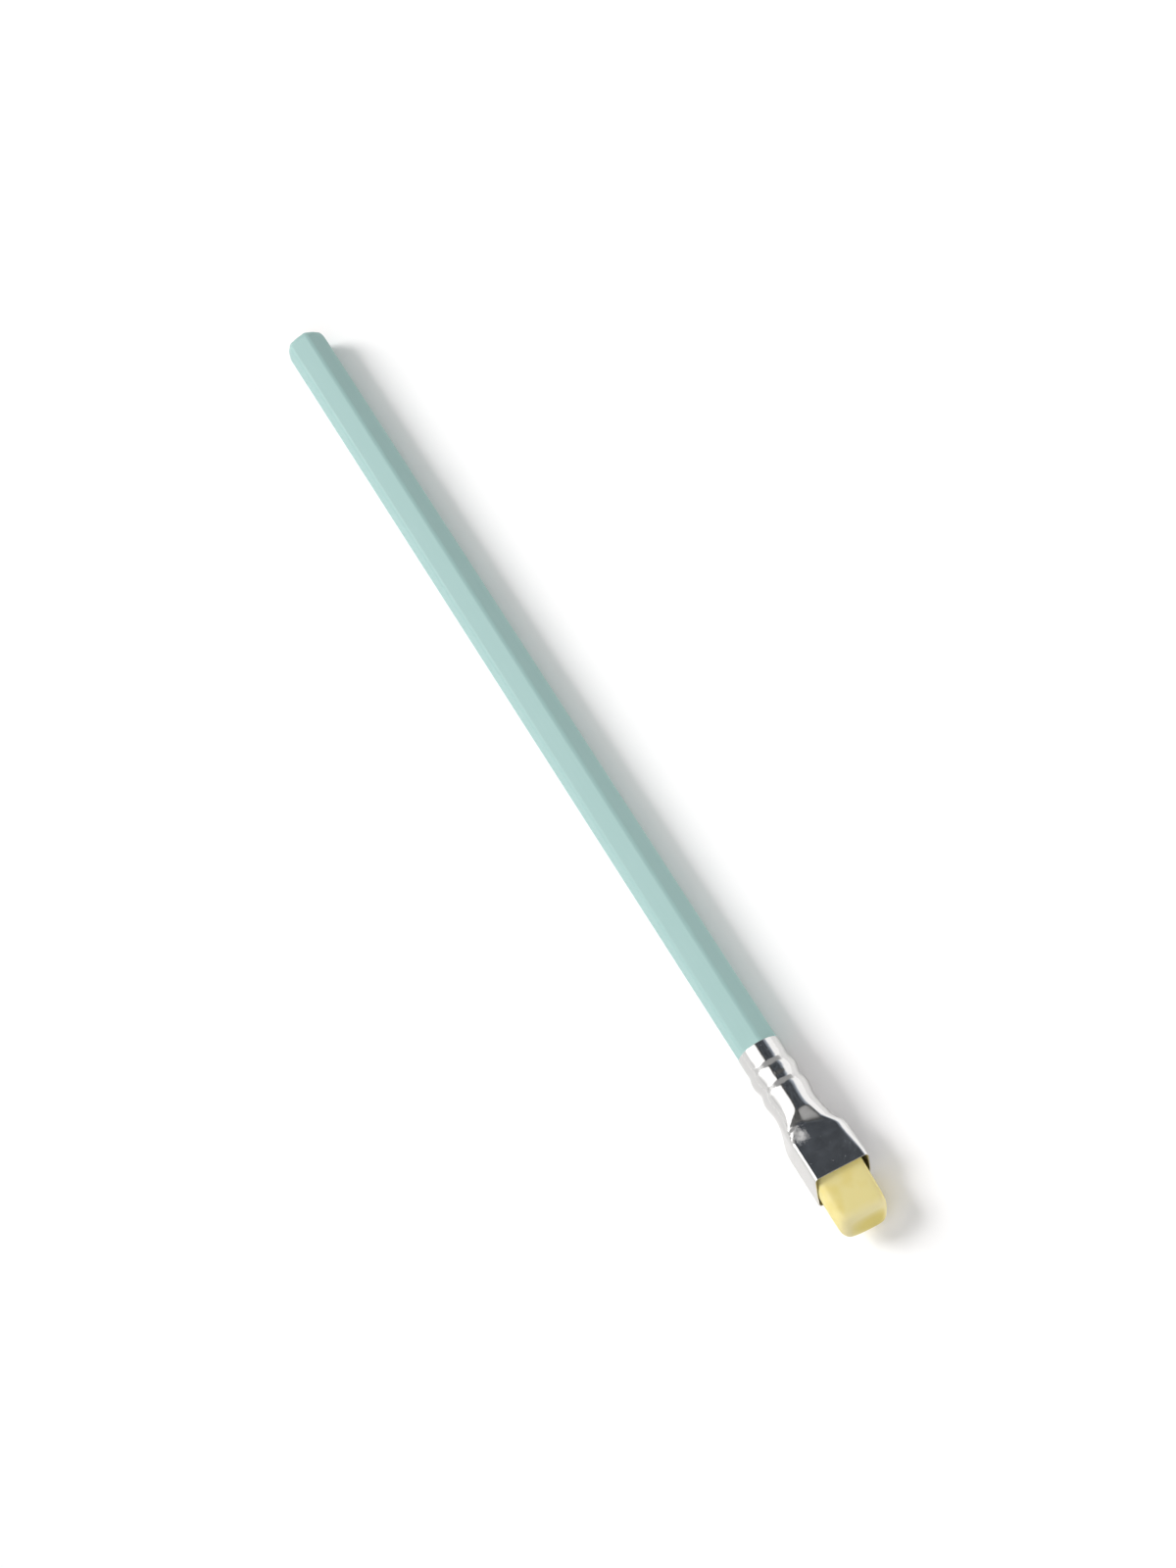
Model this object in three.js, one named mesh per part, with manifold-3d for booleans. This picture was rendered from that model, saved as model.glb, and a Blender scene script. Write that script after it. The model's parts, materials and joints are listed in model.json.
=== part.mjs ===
// Unsharpened hexagonal wood-cased pencil, with a flattened metal ferrule and an eraser that pulls out in its clip.
//
// Millimetres, +Z up. Every piece is first laid out along X, from the writing end at x = 0 to the eraser, with
// the pencil's axis on the X axis and the broad face of the ferrule looking along +Z. The whole pencil is then
// rolled to the way it lies on a table, and set down with the origin under the middle of its box.

import * as THREE from "three";
import { mergeVertices } from "three/addons/utils/BufferGeometryUtils.js";
import Module from "manifold-3d";

const { clamp, degToRad, lerp, smoothstep } = THREE.MathUtils;

// Barrel: two grooved slats of wood glued round the core
const acrossFlats = 7.0;
const barrelLength = 165.75; // writing end to the rim of the ferrule
const longEdgeRadius = 0.45; // along the six long edges
const endEdgeRadius = 0.4; // round the outline of the writing end
const coreDiameter = 2.2;
const coreClearance = 0.05; // between core and groove, all round
const glueLine = 0.02; // between the two slats

// Ferrule: one drawn tube of sheet metal, crimped in grooves and beads, and pressed flat at the mouth
const ferruleSheet = 0.25;
const crimps = 2; // grooves, each with a bead after it
const firstGroove = 3.32; // rim to the middle of the first groove
const grooveHalfWidth = 0.98; // middle of the first groove to the collar
const crimpPitch = 3.92; // groove to groove, and bead to bead
const grooveDepth = 0.04; // below the collar
const beadRise = 0.33; // above the collar
const beadFullness = 0.75; // under 1 the beads are broad and the grooves narrow
const neckRise = 0.03; // above the collar
const neckLength = 2.6; // top of the last bead to the start of the flare
const flareLength = 7.4; // round neck to full width
const rampDelay = 1.0; // start of the flare to the start of the ramp down to the flat
const rampLength = 3.4;
const flatLength = 7.9; // end of the flare to the middle of the mouth
const mouthWidth = 10.1;
const mouthThickness = 6.2;
const mouthCorner = 0.8; // outside corner radius of the mouth
const mouthRake = 2.58; // how far the upper lip is set back from the lower lip
const tenonClearance = 0.1; // between the barrel's tenon and the bottom of the grooves
const tenonSetback = 0.8; // end of the tenon to the start of the flare

// Eraser and the spring clip that holds it in the mouth
const clipSheet = 0.2;
const clipSideGap = 1.1; // between the clip and each side wall
const clipBend = 0.4; // inside radius of its two bends
const clipSetback = 0.6; // ends of its legs to the upper lip
const clipSlip = 0.05; // between the clip and the ferrule
const eraserSlip = 0.05; // between the eraser and the clip
const eraserSideGap = 0.05; // to one side wall at the mouth, and to the other at the back
const eraserSkew = 1.5; // degrees that the eraser sits askew in the mouth
const eraserReach = 8.1; // middle of the mouth to the middle of the eraser's end face
const eraserRake = 1.6; // how far the upper edge of its end is set back from the lower edge
const eraserCorner = 0.95; // along its four long edges
const eraserEndEdge = 0.9; // round its two ends, across the block
const eraserEndCrown = 1.4; // and along it

// Facets
const tubeSides = 32;
const coreSides = 24;
const bendSteps = 5; // along one quarter turn or one long edge
const waveSteps = 4; // rings from a groove to the next bead
const flareSteps = 10; // rings along the flare
const edgeShare = 0.95; // most of a corner's radius that a rounded end takes up

// Worked out from the sizes above
const cornerAngle = Math.PI / 3;
const edgeCentre = acrossFlats / Math.sqrt(3) - longEdgeRadius / Math.cos(cornerAngle / 2);
const collarRadius = edgeCentre + longEdgeRadius; // flush with the long edges of the barrel
const grooveRadius = collarRadius - grooveDepth;
const beadRadius = collarRadius + beadRise;
const neckRadius = collarRadius + neckRise;
const collarEnd = firstGroove - grooveHalfWidth;
const lastBead = firstGroove + (crimps - 0.5) * crimpPitch;
const flareStart = lastBead + neckLength;
const rampStart = flareStart + rampDelay;
const flatStart = flareStart + flareLength;
const ferruleLength = flatStart + flatLength;
const mouthX = barrelLength + ferruleLength;
const lowerLip = mouthX + mouthRake / 2;
const upperLip = mouthX - mouthRake / 2;
const tenonRadius = grooveRadius - ferruleSheet - tenonClearance;
const blankLength = barrelLength + flareStart - tenonSetback;
const outsideBarrel = 2 * acrossFlats; // wider than the barrel, for cutting it
const mouthInside = mouthWidth - 2 * ferruleSheet;
const clipWidth = mouthInside - 2 * clipSideGap;
const clipBack = barrelLength + flatStart;
const clipFront = upperLip - clipSetback;
const skew = degToRad(eraserSkew);
const eraserDrift = Math.sin(skew) * (lowerLip - clipBack); // sideways, from the mouth to the back
const eraserWidth = mouthInside - 2 * eraserSideGap - eraserDrift;
const eraserThickness = mouthThickness - 2 * (ferruleSheet + clipSlip + clipSheet + eraserSlip);
const eraserMiddle = -eraserDrift / 2; // at the lower lip
const skewDrop = Math.sin(skew) * (eraserWidth / 2); // by which one back corner sits deeper
const eraserBack = clipBack + clipSheet + eraserSlip + skewDrop;
const eraserFront = mouthX + eraserReach;

const wasm = await Module();
wasm.setup();

// Directions for sweeping an outline: its own axes become the first two, and it is swept along the third.
const axisX = new THREE.Vector3(1, 0, 0);
const axisY = new THREE.Vector3(0, 1, 0);
const axisZ = new THREE.Vector3(0, 0, 1);
const alongBarrel = new THREE.Matrix4().makeBasis(axisY, axisZ, axisX);
const acrossBarrel = new THREE.Matrix4().makeBasis(axisX, axisZ, axisY.clone().negate());

function closed(geometry) {
  const bare = geometry.clone();
  bare.deleteAttribute("normal");
  bare.deleteAttribute("uv");
  return mergeVertices(bare);
}

function toSolid(geometry) {
  const merged = closed(geometry);
  const vertProperties = new Float32Array(merged.attributes.position.array);
  const triVerts = new Uint32Array(merged.index.array);
  return new wasm.Manifold(new wasm.Mesh({ numProp: 3, vertProperties, triVerts }));
}

function toGeometry(solid) {
  const mesh = solid.getMesh();
  const geometry = new THREE.BufferGeometry();
  geometry.setAttribute("position", new THREE.BufferAttribute(mesh.vertProperties, 3));
  geometry.setIndex(new THREE.BufferAttribute(mesh.triVerts, 1));
  return geometry;
}

function rod(radius, length, sides) {
  const geometry = new THREE.CylinderGeometry(radius, radius, length, sides);
  return geometry.rotateZ(-Math.PI / 2).translate(length / 2, 0, 0);
}

// Sweeps an outline along the barrel from one x to another. The edge round both ends is rounded over a distance
// across the bar, which stays inside the outline's own corner radius, and a distance along it.
function roundedBar({ outline, corner, from, to, across, along }) {
  const inset = Math.min(across, edgeShare * corner);
  const geometry = new THREE.ExtrudeGeometry(outline, {
    depth: to - from - 2 * along,
    curveSegments: bendSteps,
    bevelThickness: along,
    bevelSize: inset,
    bevelOffset: -inset,
    bevelSegments: bendSteps,
  });
  return geometry.applyMatrix4(alongBarrel).translate(from + along, 0, 0);
}

// Hexagon with rounded corners, one of them pointing up.
function hexagon() {
  const outline = new THREE.Shape();
  for (let corner = 0; corner < 6; corner += 1) {
    const angle = Math.PI / 2 + corner * cornerAngle;
    const x = edgeCentre * Math.cos(angle);
    const y = edgeCentre * Math.sin(angle);
    outline.absarc(x, y, longEdgeRadius, angle - cornerAngle / 2, angle + cornerAngle / 2);
  }
  outline.closePath();
  return outline;
}

function roundedRectangle(width, height, radius) {
  const outline = new THREE.Shape();
  const x = width / 2 - radius;
  const y = height / 2 - radius;
  outline.absarc(x, y, radius, 0, Math.PI / 2);
  outline.absarc(-x, y, radius, Math.PI / 2, Math.PI);
  outline.absarc(-x, -y, radius, Math.PI, 1.5 * Math.PI);
  outline.absarc(x, -y, radius, 1.5 * Math.PI, 2 * Math.PI);
  outline.closePath();
  return outline;
}

// The wooden blank: hexagonal up to the ferrule, turned down to a tenon beyond it, and bored for the core. The
// hexagon is swept one diameter too long and cut off, because only the writing end keeps its rounded edge.
function blank() {
  const bar = roundedBar({
    outline: hexagon(),
    corner: longEdgeRadius,
    from: 0,
    to: blankLength + acrossFlats,
    across: endEdgeRadius,
    along: endEdgeRadius,
  });
  const untouched = new THREE.BoxGeometry(barrelLength, outsideBarrel, outsideBarrel);
  untouched.translate(barrelLength / 2, 0, 0);
  const tenon = rod(tenonRadius, blankLength, tubeSides);
  const bore = rod(coreDiameter / 2 + coreClearance, blankLength, coreSides);
  return toSolid(bar).intersect(toSolid(untouched).add(toSolid(tenon))).subtract(toSolid(bore));
}

// One half of the blank. The glue line is turned from the ferrule's broad face, to run through two corners.
function slat(side) {
  const half = new THREE.BoxGeometry(blankLength, outsideBarrel, outsideBarrel);
  half.translate(blankLength / 2, 0, (side * (outsideBarrel + glueLine)) / 2).rotateX(cornerAngle / 2);
  return toGeometry(blank().intersect(toSolid(half)));
}

// Outside radius of the round stretch of the ferrule, at a distance from its rim.
function tubeRadius(distance) {
  if (distance <= firstGroove) {
    return lerp(collarRadius, grooveRadius, smoothstep(distance, collarEnd, firstGroove));
  }
  if (distance <= lastBead) {
    const wave = Math.sin((Math.PI * (distance - firstGroove)) / crimpPitch) ** 2;
    return lerp(grooveRadius, beadRadius, wave ** beadFullness);
  }
  return lerp(beadRadius, neckRadius, smoothstep(distance, lastBead, flareStart));
}

// One ring of points round the ferrule, set inwards from its outside. The ring is a rounded rectangle, which is a
// circle as long as its corner radius is half its width and half its thickness.
function ferruleRing(distance, inset) {
  const round = tubeRadius(distance);
  const flare = smoothstep(distance, flareStart, flatStart);
  const ramp = smoothstep(distance, rampStart, rampStart + rampLength);
  const sharpening = smoothstep(distance, rampStart, flatStart);
  const halfWidth = lerp(round, mouthWidth / 2, flare);
  const halfThickness = lerp(round, mouthThickness / 2, ramp);
  const corner = Math.min(lerp(round, mouthCorner, sharpening), halfWidth, halfThickness);
  const rake = distance > flatStart ? mouthRake / mouthThickness : 0;
  const points = [];
  for (let side = 0; side < tubeSides; side += 1) {
    const angle = (2 * Math.PI * (side + 0.5)) / tubeSides;
    const y = Math.sign(Math.cos(angle)) * (halfWidth - corner) + (corner - inset) * Math.cos(angle);
    const z = Math.sign(Math.sin(angle)) * (halfThickness - corner) + (corner - inset) * Math.sin(angle);
    points.push(new THREE.Vector3(barrelLength + distance - rake * z, y, z));
  }
  return points;
}

function steps(from, to, count) {
  return Array.from({ length: count }, (_, step) => lerp(from, to, (step + 1) / count));
}

// Closed skin over rings of points, the last ring joined to the first.
function ringSkin(rings) {
  const sides = rings[0].length;
  const index = [];
  rings.forEach((_, here) => {
    const next = (here + 1) % rings.length;
    for (let side = 0; side < sides; side += 1) {
      const beside = (side + 1) % sides;
      const [a, b] = [here * sides + side, here * sides + beside];
      const [c, d] = [next * sides + beside, next * sides + side];
      index.push(a, b, c, a, c, d);
    }
  });
  const geometry = new THREE.BufferGeometry().setFromPoints(rings.flat());
  geometry.setIndex(index);
  return geometry;
}

// A tube: out along the outside from the rim to the mouth, and back along the inside.
function ferrule() {
  const stations = [
    0,
    collarEnd,
    ...steps(collarEnd, firstGroove, waveSteps / 2),
    ...steps(firstGroove, lastBead, (2 * crimps - 1) * waveSteps),
    ...steps(lastBead, flareStart, waveSteps),
    ...steps(flareStart, flatStart, flareSteps),
    ferruleLength,
  ];
  const outside = stations.map((distance) => ferruleRing(distance, 0));
  const inside = stations.map((distance) => ferruleRing(distance, ferruleSheet)).reverse();
  return ringSkin([...outside, ...inside]);
}

// A strip bent into a U that lies on its side round the back of the eraser.
function eraserClip() {
  const insideHalf = eraserThickness / 2 + eraserSlip;
  const outsideHalf = insideHalf + clipSheet;
  const bendX = clipBack + clipSheet + clipBend;
  const bendZ = insideHalf - clipBend;
  const outerBend = clipBend + clipSheet;
  const outline = new THREE.Shape();
  outline.moveTo(clipFront, outsideHalf);
  outline.absarc(bendX, bendZ, outerBend, Math.PI / 2, Math.PI);
  outline.absarc(bendX, -bendZ, outerBend, Math.PI, 1.5 * Math.PI);
  outline.lineTo(clipFront, -outsideHalf);
  outline.lineTo(clipFront, -insideHalf);
  outline.absarc(bendX, -bendZ, clipBend, 1.5 * Math.PI, Math.PI, true);
  outline.absarc(bendX, bendZ, clipBend, Math.PI, Math.PI / 2, true);
  outline.lineTo(clipFront, insideHalf);
  outline.closePath();
  const options = { depth: clipWidth, curveSegments: bendSteps, bevelEnabled: false };
  const geometry = new THREE.ExtrudeGeometry(outline, options).applyMatrix4(acrossBarrel);
  return geometry.translate(0, clipWidth / 2, 0);
}

// A rounded block whose outer end leans back, a little askew in the mouth.
function eraser() {
  const geometry = roundedBar({
    outline: roundedRectangle(eraserWidth, eraserThickness, eraserCorner),
    corner: eraserCorner,
    from: eraserBack,
    to: eraserFront,
    across: eraserEndEdge,
    along: eraserEndCrown,
  });
  const points = geometry.attributes.position;
  for (let point = 0; point < points.count; point += 1) {
    const x = points.getX(point);
    const lean = x > mouthX ? eraserRake / eraserThickness : 0;
    points.setX(point, x - lean * points.getZ(point));
  }
  geometry.translate(-lowerLip, 0, 0).rotateZ(-skew);
  return geometry.translate(lowerLip, eraserMiddle, 0);
}

const lacqueredWood = { color: 0xb2d2cf, roughness: 0.4, metalness: 0 };
const graphite = { color: 0x3a3a3c, roughness: 0.5, metalness: 0 };
const polishedAluminium = { color: 0xd9dadb, roughness: 0.12, metalness: 1 };
const springSteel = { color: 0xb9bbbd, roughness: 0.3, metalness: 1 };
const yellowRubber = { color: 0xe2d79b, roughness: 0.75, metalness: 0 };

function piece(name, geometry, look) {
  const mesh = new THREE.Mesh(closed(geometry), new THREE.MeshStandardMaterial(look));
  mesh.name = name;
  return mesh;
}

const pencil = new THREE.Group();
pencil.add(
  piece("graphite_core", rod(coreDiameter / 2, blankLength, coreSides), graphite),
  piece("slat_upper", slat(1), lacqueredWood),
  piece("slat_lower", slat(-1), lacqueredWood),
  piece("ferrule", ferrule(), polishedAluminium),
  piece("eraser_clip", eraserClip(), springSteel),
  piece("eraser", eraser(), yellowRubber),
);

// On a table the pencil rolls until a corner of the mouth comes down level with the beads, or until a flat of the
// barrel is level if the mouth is too small to touch.
const cornerY = mouthWidth / 2 - mouthCorner;
const cornerZ = mouthThickness / 2 - mouthCorner;
const cornerDrop = Math.min(1, (beadRadius - mouthCorner) / Math.hypot(cornerY, cornerZ));
const mouthRoll = Math.asin(cornerDrop) - Math.atan2(cornerZ, cornerY);
pencil.rotation.x = -clamp(mouthRoll, 0, cornerAngle / 2);

const box = new THREE.Box3().setFromObject(pencil, true);
const middle = box.getCenter(new THREE.Vector3());
pencil.position.set(-middle.x, -middle.y, -box.min.z);

const lyingPencil = new THREE.Group();
lyingPencil.add(pencil);

export default lyingPencil;
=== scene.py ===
# %% [markdown]
# # A pencil with a flat eraser
#
# An unsharpened pencil lies on a white table, its eraser towards us. On the bench it comes apart into six
# pieces: a graphite core, two slats glued round it, a metal ferrule, a spring clip in the ferrule's mouth,
# and the eraser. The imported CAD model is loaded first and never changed. It says where each piece is and
# how big it is, and each cell below models one piece again with the detail that the eye wants, or gives it
# its finish.

import json
import math

import bmesh
import bpy
from mathutils import Matrix, Quaternion, Vector


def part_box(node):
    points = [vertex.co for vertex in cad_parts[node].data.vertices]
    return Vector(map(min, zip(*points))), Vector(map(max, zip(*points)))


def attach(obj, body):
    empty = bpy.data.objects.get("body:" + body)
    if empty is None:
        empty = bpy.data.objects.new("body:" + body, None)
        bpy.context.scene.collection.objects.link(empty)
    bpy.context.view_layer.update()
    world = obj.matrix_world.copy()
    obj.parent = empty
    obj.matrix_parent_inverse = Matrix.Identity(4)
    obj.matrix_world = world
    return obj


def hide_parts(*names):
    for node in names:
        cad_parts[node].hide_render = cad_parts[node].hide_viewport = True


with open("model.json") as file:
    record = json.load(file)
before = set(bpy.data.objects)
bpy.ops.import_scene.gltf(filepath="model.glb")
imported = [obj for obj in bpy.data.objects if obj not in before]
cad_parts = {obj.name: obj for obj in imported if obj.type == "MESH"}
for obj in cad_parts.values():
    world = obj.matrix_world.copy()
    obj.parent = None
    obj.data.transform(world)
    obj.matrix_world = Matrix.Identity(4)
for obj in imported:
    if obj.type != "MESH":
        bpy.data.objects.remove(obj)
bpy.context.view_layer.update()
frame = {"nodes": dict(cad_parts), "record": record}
print("CAD pieces:", ", ".join(sorted(frame["nodes"])))

# %% [markdown]
# ## Where the pencil lies
#
# The pencil lies rolled a little on its axis, so its six sides are neither level nor upright. Modelling is
# easier on a pencil that points along X with the ferrule's broad face up, and it can be laid down
# afterwards. The roll and the half width of the barrel are read from the mount on one of its flats.

# %% Measure the lie of the pencil
MM = 0.001
core_low, core_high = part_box("graphite_core")
ferrule_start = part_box("ferrule")[0].x
axis_start = Vector((core_low.x, (core_low.y + core_high.y) / 2, (core_low.z + core_high.z) / 2))
barrel_length = ferrule_start - core_low.x

flat = next(mount for mount in frame["record"]["mounts"] if mount["name"] == "barrel_flat")
flat_from_axis = Vector(flat["pos_m"]) - axis_start
half_flats = math.hypot(flat_from_axis.y, flat_from_axis.z)
FLAT_BEFORE_ROLL = math.radians(150)
roll = math.atan2(flat["axis"][1], flat["axis"][2]) - FLAT_BEFORE_ROLL
to_rest = Matrix.Translation(axis_start) @ Matrix.Rotation(-roll, 4, "X")
print(f"barrel {barrel_length / MM:.2f} mm long, {2 * half_flats / MM:.2f} mm across flats")
print(f"rolled by {math.degrees(roll):.2f} degrees")

# %% [markdown]
# ## Working by hand, in code
#
# In the viewport a modeller clicks on what an operator should act on. Here a few small helpers do the
# clicking. One makes a piece the only selected object, one opens it for editing, one selects faces or edges
# by a test on their place or normal, and one closes it again.

# %% Helpers for selecting
def select_only(piece):
    """Makes the piece the only selected object and the active one."""
    bpy.ops.object.select_all(action="DESELECT")
    piece.select_set(True)
    bpy.context.view_layer.objects.active = piece


def open_for_editing(piece):
    """Enters the piece's edit mode."""
    select_only(piece)
    bpy.ops.object.mode_set(mode="EDIT")


def pick(piece, kind, test):
    """Selects exactly the piece's verts, edges or faces that pass the test, and says how many."""
    bpy.ops.mesh.select_mode(type={"verts": "VERT", "edges": "EDGE", "faces": "FACE"}[kind])
    bpy.ops.mesh.select_all(action="DESELECT")
    mesh = bmesh.from_edit_mesh(piece.data)
    mesh.normal_update()
    chosen = [item for item in getattr(mesh, kind) if test(item)]
    for item in chosen:
        item.select_set(True)
    mesh.select_flush_mode()
    bmesh.update_edit_mesh(piece.data)
    return len(chosen)


def close(piece):
    """Leaves edit mode, with the piece still selected."""
    bpy.ops.object.mode_set(mode="OBJECT")
    return piece


# %% [markdown]
# ## The wooden blank
#
# A pencil's barrel is milled from two grooved slats that are glued together round the core. Both slats are
# cut from one blank here: a six-sided cylinder whose long edges are bevelled to the soft corners that the
# cutter and the lacquer leave. A Bevel modifier could do that too, but the bevel tool takes only the edges
# we choose.

# %% The six-sided bar
def take_up(piece):
    """Selects the piece alone and moves its place, turn and size into its mesh."""
    select_only(piece)
    bpy.ops.object.transform_apply(location=True, rotation=True, scale=True)
    return piece


def add_rod(sides, radius, length, middle, ends="NGON"):
    """A cylinder along X with its middle at a distance along the axis."""
    bpy.ops.mesh.primitive_cylinder_add(
        vertices=sides, radius=radius, depth=length, end_fill_type=ends,
        location=(middle, 0, 0), rotation=(0, math.radians(90), 0))
    return take_up(bpy.context.object)


def lengthwise(edge, length):
    """Whether the edge runs along X for more than a length."""
    return abs(edge.verts[0].co.x - edge.verts[1].co.x) > length


SIDES = 6
HALF_SIDE = math.radians(180 / SIDES)
long_edge_radius = 1.0 * MM
tenon_length = 11.0 * MM
blank_length = barrel_length + tenon_length
corner_radius = half_flats / math.cos(HALF_SIDE)

blank = add_rod(SIDES, corner_radius, blank_length, blank_length / 2)
open_for_editing(blank)
bpy.ops.mesh.select_all(action="SELECT")
bpy.ops.transform.rotate(value=HALF_SIDE, orient_axis="X", center_override=(0, 0, 0))
long_edges = pick(blank, "edges", lambda edge: lengthwise(edge, blank_length / 2))
bpy.ops.mesh.bevel(
    offset=long_edge_radius * math.tan(HALF_SIDE), segments=10, profile=0.5,
    affect="EDGES", clamp_overlap=False)
close(blank)
print(long_edges, "long edges rounded")

# %% [markdown]
# The writing end has been cut square and dipped, so its rim is round and lacquered, and roundest at the six
# corners. A bevel of one width can't do that. So each side of the rim gets a few points first, the bevel
# rounds it, and then its points move along the pencil, further the nearer they are to a corner.

# %% Round the writing end
end_edge_radius = 0.8 * MM
CORNER_ROUNDING = 1.3


def on_end(edge):
    """Whether the edge lies on the face of the writing end."""
    return max(vert.co.x for vert in edge.verts) < end_edge_radius / 2


open_for_editing(blank)
pick(blank, "edges", lambda edge: on_end(edge) and edge.calc_length() > long_edge_radius)
bpy.ops.mesh.subdivide(number_cuts=6)
rim_edges = pick(blank, "edges", on_end)
bpy.ops.mesh.bevel(offset=end_edge_radius, segments=7, profile=0.5, affect="EDGES", clamp_overlap=False)
for point in bmesh.from_edit_mesh(blank.data).verts:
    if point.co.x < barrel_length / 2:
        at_corner = (1 + math.cos(SIDES * math.atan2(point.co.y, point.co.z))) / 2
        point.co.x *= 1 + CORNER_ROUNDING * at_corner
bmesh.update_edit_mesh(blank.data)
close(blank)
print(rim_edges, "rim edges rounded")

# %% [markdown]
# The other end is turned down on a lathe to a tenon that goes into the ferrule. A lathe tool sweeps a ring,
# so the cutter is a small rectangle spun round the axis, and a Boolean takes its sweep off the blank. A
# second Boolean bores the hole for the core.

# %% Turn the tenon, bore the core's hole
def modify(piece, kind, **settings):
    """Adds one modifier with these settings and applies it."""
    modifier = piece.modifiers.new(kind.title(), kind)
    for name, value in settings.items():
        setattr(modifier, name, value)
    select_only(piece)
    bpy.ops.object.modifier_apply(modifier=modifier.name)


ROUND_SIDES = 64
tenon_radius = 3.58 * MM
core_radius = 1.1 * MM
core_clearance = 0.05 * MM
cutter_reach = 3 * MM

bpy.ops.mesh.primitive_plane_add(size=1, location=(0, 0, 0))
lathe_cut = bpy.context.object
open_for_editing(lathe_cut)
bpy.ops.transform.resize(value=(2 * tenon_length, cutter_reach, 1))
bpy.ops.transform.translate(value=(barrel_length + tenon_length, tenon_radius + cutter_reach / 2, 0))
bpy.ops.mesh.delete(type="ONLY_FACE")
bpy.ops.mesh.select_all(action="SELECT")
bpy.ops.mesh.spin(steps=96, angle=math.radians(360), center=(0, 0, 0), axis=(1, 0, 0))
bpy.ops.mesh.select_all(action="SELECT")
bpy.ops.mesh.remove_doubles(threshold=0.001 * MM)
bpy.ops.mesh.normals_make_consistent(inside=False)
close(lathe_cut)

drill = add_rod(ROUND_SIDES, core_radius + core_clearance, 2 * blank_length, blank_length / 2)
for tool in (lathe_cut, drill):
    modify(blank, "BOOLEAN", object=tool, operation="DIFFERENCE", solver="EXACT")
    bpy.data.objects.remove(tool)
print("blank:", len(blank.data.polygons), "faces")

# %% [markdown]
# ## Two slats
#
# The glue line runs through two opposite corners of the hexagon. The blank is copied twice, and bisect
# halves each copy along that plane and fills the cut, the way a real blank would split. Each cut lies half
# a glue line off the plane, so the two slats never share a face.

# %% Split the blank
glue_line = 0.02 * MM
seam_normal = Vector((0, -math.sin(HALF_SIDE), math.cos(HALF_SIDE)))


def split(side):
    """A copy of the blank, kept on one side of the glue line."""
    slat = blank.copy()
    slat.data = blank.data.copy()
    bpy.context.collection.objects.link(slat)
    open_for_editing(slat)
    bpy.ops.mesh.select_all(action="SELECT")
    outwards = seam_normal * side
    bpy.ops.mesh.bisect(
        plane_co=outwards * glue_line / 2, plane_no=outwards, use_fill=True, clear_inner=True,
        threshold=glue_line / 100)
    return close(slat)


slat_upper = split(1)
slat_lower = split(-1)
bpy.data.objects.remove(blank)
print("slats:", [len(slat.data.polygons) for slat in (slat_upper, slat_lower)], "faces")

# %% [markdown]
# ## The core
#
# The core is an extruded and fired rod of graphite and clay. At the writing end it is sawn off flush with
# the wood, so its edge is crisp but not knife-sharp: a tiny bevel catches the light where a plain cylinder
# would not.

# %% The graphite rod
core_edge = 0.06 * MM
core = add_rod(ROUND_SIDES, core_radius, blank_length, blank_length / 2)
open_for_editing(core)
pick(core, "edges", lambda edge: not lengthwise(edge, core_edge))
bpy.ops.mesh.bevel(offset=core_edge, segments=3, profile=0.5, affect="EDGES", clamp_overlap=False)
close(core)
print("core:", len(core.data.polygons), "faces")

# %% [markdown]
# ## The ferrule
#
# The ferrule starts as a drawn aluminium tube. Rollers press two grooves into it, which leave two soft
# beads, and a die squeezes the other end flat and wide. It could be lofted from a few profiles, but a
# formed tube is smooth all along, so we take an open cylinder with many rings and press every point to the
# outline of its ring.

# %% The ferrule's measures, from its rim
sheet = 0.25 * MM
collar_radius = 3.972 * MM
groove_radius = collar_radius - 0.04 * MM
bead_radius = collar_radius + 0.33 * MM
neck_radius = collar_radius + 0.03 * MM
first_groove = 3.32 * MM
collar_end = first_groove - 0.98 * MM
crimp_pitch = 3.92 * MM
last_bead = first_groove + 1.5 * crimp_pitch
flare_start = last_bead + 2.6 * MM
ramp_start = flare_start + 1.5 * MM
ramp_end = ramp_start + 3.6 * MM
flat_start = flare_start + 7.4 * MM
ferrule_length = flat_start + 7.9 * MM
corner_start = ramp_start - 0.5 * MM
corner_end = flat_start - 0.5 * MM
mouth_half_width = 10.1 / 2 * MM
mouth_half_thickness = 6.2 / 2 * MM
mouth_corner = 0.8 * MM
mouth_rake = 2.58 / 6.2
print(f"ferrule {ferrule_length / MM:.2f} mm long, its last bead {last_bead / MM:.2f} mm from the rim")


# %% The round part of the tube
def ease(value, start, end):
    """0 before start, 1 after end, and a smooth S between."""
    share = min(max((value - start) / (end - start), 0), 1)
    return share * share * (3 - 2 * share)


def between(start, end, share):
    """The value a share of the way from start to end."""
    return start + (end - start) * share


# Below 1 the beads are broader than the grooves
BEAD_FULLNESS = 0.75


def tube_radius(along):
    """The radius of the round part at a distance from the rim."""
    if along <= first_groove:
        return between(collar_radius, groove_radius, ease(along, collar_end, first_groove))
    if along <= last_bead:
        wave = math.sin(math.pi * (along - first_groove) / crimp_pitch) ** 2
        return between(groove_radius, bead_radius, wave ** BEAD_FULLNESS)
    return between(bead_radius, neck_radius, ease(along, last_bead, flare_start))


print("radius at the rim and the beads, mm:", [
    round(tube_radius(along) / MM, 2) for along in (0, last_bead - crimp_pitch, last_bead)])

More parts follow.
